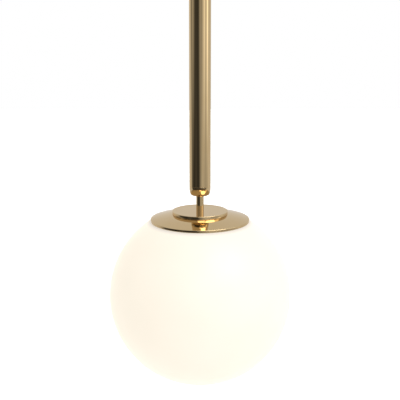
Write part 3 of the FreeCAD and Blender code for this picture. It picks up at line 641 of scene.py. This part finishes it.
def threaded(name, body, slot, middle, swing, wall, low, high, segments=72):
    """A thin sleeve pressed into a round right-handed screw thread between two levels."""
    rows = int((high - low) / 0.3)
    vertices, faces = [], []
    for side in (0.0, -wall):
        for j in range(rows + 1):
            height = low + (high - low) * j / rows
            fade = min(1.0, (height - low) / 2.0, (high - height) / 2.0)
            for i in range(segments):
                angle = 2 * math.pi * i / segments
                wave = math.cos(2 * math.pi * height / THREAD_LEAD - angle)
                radius = middle + swing * fade * wave + side
                vertices.append((radius * math.cos(angle), radius * math.sin(angle), at_level(height)))
    shell = (rows + 1) * segments
    for side in (0, 1):
        for j in range(rows):
            for i in range(segments):
                k = (i + 1) % segments
                start = side * shell + j * segments
                faces.append((start + i, start + k, start + segments + k, start + segments + i))
    for j in (0, rows):
        for i in range(segments):
            k = (i + 1) % segments
            start = j * segments
            faces.append((start + i, start + k, shell + start + k, shell + start + i))
    return new_piece(name, vertices, faces, body, [name], slot)


def make_lampholder():
    """Cap and fluted lower shell round a ceramic core, with the threaded sleeve inside."""
    bore = ROD_RADIUS + ROD_GAP
    lathe("socket_cap", outline(
        (bore, 105.5), (bore + 0.5, 106.0), (8.1, 106.0), (8.6, 105.5), (8.6, 99.6),
        arc((9.6, 99.6), 1.0, 180, 250, 4), (16.5, 94.5), arc((16.5, 89.5), 5.0, 90, 0, 10),
        (21.5, 76.4), (21.1, 76.0), (20.1, 76.0), (20.1, 89.2), (16.5, 92.8), (bore, 95.5)),
        "pendant", "black_moulding", 144, base=GLOBE_LEVEL)

    def fluted(radius, height, angle):
        if radius < 19.9 or not 51.0 < height < 73.0:
            return radius
        return radius - 0.45 * (0.5 - 0.5 * math.cos(FLUTES * angle)) ** 2

    shell = outline(
        (18.2, 48.2), (18.2, 86.0), (19.9, 86.0), (20.0, 85.8), (20.0, 73.4), (20.0, 72.9), (20.0, 51.1),
        (20.0, 50.6), (20.0, 48.6), arc((18.6, 48.0), 1.4, 0, -90, 6), (15.3, 46.6), (15.0, 46.9),
        (15.0, 48.2))
    lathe("socket_shell", shell, "pendant", "black_moulding", FLUTES * 8, base=GLOBE_LEVEL, radius_at=fluted)
    lathe("socket_core", outline(
        (0, 74.5), (9.0, 74.5), (9.0, 71.4), (9.4, 71.0), (17.5, 71.0), (17.9, 71.4), (17.9, 83.5),
        (17.4, 84.0), (13.0, 84.0), (13.0, 86.5), (12.5, 87.0), (0, 87.0)),
        "pendant", "white_ceramic", 96, base=GLOBE_LEVEL)
    threaded("socket_thread", "pendant", "nickel", 14.3, 0.32, 0.35, 48.6, 70.9)


def dome_side(low, high, steps=14):
    """The lamp's flare: an S-shaped line from its widest ring up to its neck."""
    points = []
    for i in range(steps + 1):
        share = i / steps
        ease = share * share * (3 - 2 * share)
        points.append((low[0] + (high[0] - low[0]) * ease ** 0.85, low[1] + (high[1] - low[1]) * share))
    return points


def make_lamp():
    """Screw cap, insulator and contact under a moulded collar, and the opal diffuser."""
    threaded("lamp_cap", "lamp", "nickel", 12.82, 0.36, 0.45, 44.6, 66.0)
    lathe("lamp_insulator", outline(
        (0, 67.4), (12.0, 66.2), (12.7, 66.2), arc((11.4, 66.2), 1.2, 0, 60, 4), (6.2, 69.4), (5.4, 69.85),
        (0, 69.85)), "lamp", "black_glass", 72, base=GLOBE_LEVEL)
    lathe("lamp_contact", outline((0, 69.9), (4.8, 69.9), (4.7, 70.3), arc((0, 64.8), 6.6, 50, 90, 8)),
          "lamp_carrier", "plain_brass", 48, base=GLOBE_LEVEL)
    lathe("lamp_collar", outline(
        (0, 12.0), (28.6, 12.0), (28.8, 12.2), (28.8, 14.6), (29.5, 15.0), (29.6, 16.0),
        dome_side((29.6, 16.2), (14.0, 44.0)), (12.4, 44.4), (12.4, 61.8), (0, 61.8)),
        "lamp", "lamp_plastic", 144, base=GLOBE_LEVEL)
    radius, wall = 30.0, 1.2
    middle = low_of("lamp_diffuser") - GLOBE_LEVEL + radius
    lathe("lamp_diffuser", outline(
        arc((0, middle), radius, -90, 0, 28), (radius, 8.0), (29.4, 11.6), (29.0, 11.9), (27.9, 11.9),
        (28.6, 8.0), arc((0, middle), radius - wall, 0, -90, 20)),
        "lamp", "lamp_opal", 144, base=GLOBE_LEVEL)


make_tube("rod", ROD_BORE, ROD_RADIUS, ROD_EDGE, 96)
make_tube("sleeve", SLEEVE_RADIUS - SLEEVE_WALL, SLEEVE_RADIUS, CUT_EDGE, SLEEVE_SEGMENTS)
make_sleeve_cap("sleeve_end_cap", low_of("sleeve"), -1)
make_sleeve_cap("sleeve_top_cap", high_of("sleeve"), 1)
make_trim_disc()
make_globe_cover()
make_globe()
make_canopy()
make_canopy_screws()
make_springs()
make_spring_rivets()
make_lampholder()
make_lamp()


# ------------------------------------------------------------------ carried CAD nodes

SLOT_OF = {entry["node"]: entry["material_slot"] for entry in frame["record"]["subparts"]}
EDGE_BREAK = 0.2
UNBEVELLED = ("canopy_wires", "rod_cable", "cover_gasket")


def dress_cad_nodes():
    """Every CAD node still shown gets its slot's material and, where it is metal or moulded, broken edges."""
    for node, thing in frame["nodes"].items():
        if thing.hide_render:
            continue
        thing.data.materials.clear()
        thing.data.materials.append(MATERIALS[SLOT_OF[node]])
        if node in UNBEVELLED:
            continue
        bevel = thing.modifiers.new("broken_edges", "BEVEL")
        bevel.width = EDGE_BREAK * MM
        bevel.segments = 2
        bevel.limit_method = "ANGLE"
        bevel.angle_limit = math.radians(40)


dress_cad_nodes()


# ------------------------------------------------------------------ camera, floor and light

CAMERA_DISTANCE, CAMERA_RISE, CAMERA_TILT = 1.3239, 0.4347, 12.79
FOCAL_LENGTH = 89.8


def make_camera():
    camera = bpy.data.objects.new("camera", bpy.data.cameras.new("camera"))
    bpy.context.scene.collection.objects.link(camera)
    camera.location = (0, -CAMERA_DISTANCE, GLOBE_LEVEL * MM + CAMERA_RISE)
    camera.rotation_euler = (math.radians(90 - CAMERA_TILT), 0, 0)
    camera.data.lens = FOCAL_LENGTH
    bpy.context.scene.camera = camera


FLOOR_LEVEL, FLOOR_HALF = -2.4, 15.0


def make_floor():
    """Plain pale floor, far below the lamp. Reflections see the studio's walls instead of it."""
    mesh = bpy.data.meshes.new("floor")
    corners = [(-1, -1), (1, -1), (1, 1), (-1, 1)]
    mesh.from_pydata([(x * FLOOR_HALF, y * FLOOR_HALF, FLOOR_LEVEL) for x, y in corners], [], [(0, 1, 2, 3)])
    floor = bpy.data.objects.new("floor", mesh)
    bpy.context.scene.collection.objects.link(floor)
    material = new_material("floor", (0.9, 0.9, 0.9), 0.0, 0.8, Emission_Strength=0.15)
    shader_of(material).inputs["Emission Color"].default_value = (1, 1, 1, 1)
    mesh.materials.append(material)
    floor.visible_glossy = False


# Brightness of the studio round the lamp, by compass angle in degrees: 0 faces the camera and + is to
# its right. One list each for the walls' foot, a little below eye level, eye level, and well above it.
WALLS_FOOT = [(-180, 1.0), (-105, 0.9), (-90, 0.10), (-60, 0.05), (-25, 0.07), (60, 0.10), (80, 0.7),
              (100, 1.0), (180, 1.0)]
WALLS_LOW = [(-180, 1.0), (-112, 1.0), (-100, 0.7), (-88, 0.12), (-60, 0.05), (-42, 0.11), (-28, 0.06),
             (-8, 0.07), (0, 0.32), (12, 0.60), (24, 0.84), (40, 0.80), (56, 0.66), (80, 0.72), (94, 0.85),
             (102, 1.1), (112, 0.95), (180, 1.0)]
WALLS_EYE = [(-180, 1.0), (-125, 1.15), (-112, 0.55), (-94, 0.34), (-80, 0.78), (-70, 0.36), (-54, 0.09),
             (-16, 0.07), (-6, 0.42), (4, 0.62), (16, 0.50), (27, 0.84), (38, 1.25), (47, 1.9), (55, 1.2),
             (62, 1.0), (72, 1.2), (82, 2.6), (90, 2.4), (97, 1.05), (120, 0.95), (180, 1.0)]
WALLS_HIGH = [(-180, 1.0), (-100, 1.0), (-70, 0.9), (-20, 0.95), (40, 1.0), (62, 1.0), (70, 2.7), (86, 2.7),
              (94, 1.0), (180, 1.0)]
BRIGHTEST = 3.0
# Round soft boxes: compass angle, elevation, half their span (all degrees) and how much light each adds.
SOFT_BOXES = [(48.0, 48.0, 21.0, 7.0), (6.0, 31.0, 12.0, 4.0)]


class World:
    """Small helpers for the world's node tree."""

    def __init__(self):
        self.world = bpy.data.worlds.new("studio")
        bpy.context.scene.world = self.world
        self.world.use_nodes = True
        self.tree = self.world.node_tree
        self.tree.nodes.clear()

    def node(self, kind, **values):
        node = self.tree.nodes.new(kind)
        for name, value in values.items():
            setattr(node, name, value)
        return node

    def join(self, output, socket):
        self.tree.links.new(output, socket)

    def math(self, operation, first, second=None):
        node = self.node("ShaderNodeMath", operation=operation)
        self.join(first, node.inputs[0])
        if isinstance(second, (int, float)):
            node.inputs[1].default_value = second
        elif second is not None:
            self.join(second, node.inputs[1])
        return node.outputs[0]

    def walls(self, compass, stops):
        """Brightness from a list of (angle, brightness)."""
        ramp = self.node("ShaderNodeValToRGB")
        elements = ramp.color_ramp.elements
        elements.remove(elements[1])
        for i, (angle, brightness) in enumerate(stops):
            element = elements[0] if i == 0 else elements.new((angle + 180) / 360)
            element.position = (angle + 180) / 360
            element.color = (brightness / BRIGHTEST,) * 3 + (1,)
        self.join(compass, ramp.inputs[0])
        return self.math("MULTIPLY", ramp.outputs[0], BRIGHTEST)

    def above(self, rise, low, high):
        """0 below the elevation low, 1 above high, smooth between; angles in degrees."""
        step = self.node("ShaderNodeMapRange", interpolation_type="SMOOTHSTEP")
        step.inputs[1].default_value = math.sin(math.radians(low))
        step.inputs[2].default_value = math.sin(math.radians(high))
        self.join(rise, step.inputs[0])
        return step.outputs[0]

    def blend(self, share, first, second):
        mix = self.node("ShaderNodeMix")
        self.join(share, mix.inputs[0])
        for value, socket in ((first, mix.inputs[2]), (second, mix.inputs[3])):
            if isinstance(value, float):
                socket.default_value = value
            else:
                self.join(value, socket)
        return mix.outputs[0]


def make_world():
    """White studio: a dark corner behind the camera's left, a strip light at its right, two soft boxes."""
    world = World()
    direction = world.node("ShaderNodeTexCoord")
    split = world.node("ShaderNodeSeparateXYZ")
    world.join(direction.outputs["Generated"], split.inputs[0])
    towards_camera = world.math("MULTIPLY", split.outputs["Y"], -1.0)
    angle = world.math("ARCTAN2", split.outputs["X"], towards_camera)
    compass = world.math("MULTIPLY", world.math("ADD", angle, math.pi), 0.5 / math.pi)
    rise = split.outputs["Z"]
    walls = world.blend(world.above(rise, -22, -14), world.walls(compass, WALLS_FOOT),
                        world.walls(compass, WALLS_LOW))
    walls = world.blend(world.above(rise, -13, -1), walls, world.walls(compass, WALLS_EYE))
    walls = world.blend(world.above(rise, 4, 25), walls, world.walls(compass, WALLS_HIGH))
    light = world.blend(world.above(rise, 35, 60), walls, 1.0)
    below = world.blend(world.above(rise, -60, -40), 0.9, light)
    light = below
    for compass_angle, elevation, span, added in SOFT_BOXES:
        turn, lift = math.radians(compass_angle), math.radians(elevation)
        facing = world.node("ShaderNodeVectorMath", operation="DOT_PRODUCT")
        world.join(direction.outputs["Generated"], facing.inputs[0])
        facing.inputs[1].default_value = (math.sin(turn) * math.cos(lift), -math.cos(turn) * math.cos(lift),
                                          math.sin(lift))
        box = world.above(facing.outputs["Value"], 90 - span - 4, 90 - span + 2)
        light = world.math("ADD", light, world.math("MULTIPLY", box, added))
    studio = world.node("ShaderNodeBackground")
    world.join(light, studio.inputs["Strength"])
    backdrop = world.node("ShaderNodeBackground")
    backdrop.inputs["Color"].default_value = (1, 1, 1, 1)
    seen = world.node("ShaderNodeLightPath")
    choice = world.node("ShaderNodeMixShader")
    world.join(seen.outputs["Is Camera Ray"], choice.inputs[0])
    world.join(studio.outputs[0], choice.inputs[1])
    world.join(backdrop.outputs[0], choice.inputs[2])
    output = world.node("ShaderNodeOutputWorld")
    world.join(choice.outputs[0], output.inputs["Surface"])


def make_soft_light(name, position, target, size, power):
    light = bpy.data.lights.new(name, "AREA")
    light.shape = "DISK"
    light.size = size
    light.energy = power
    lamp = bpy.data.objects.new(name, light)
    bpy.context.scene.collection.objects.link(lamp)
    lamp.location = position
    lamp.rotation_euler = (Vector(target) - Vector(position)).to_track_quat("-Z", "Y").to_euler()
    lamp.visible_glossy = False


make_camera()
make_floor()
make_world()
make_soft_light("key_light", (1.6, -1.2, 0.3), (0, 0, GLOBE_LEVEL * MM), 1.4, 3.0)
bpy.context.scene.view_settings.view_transform = "Standard"
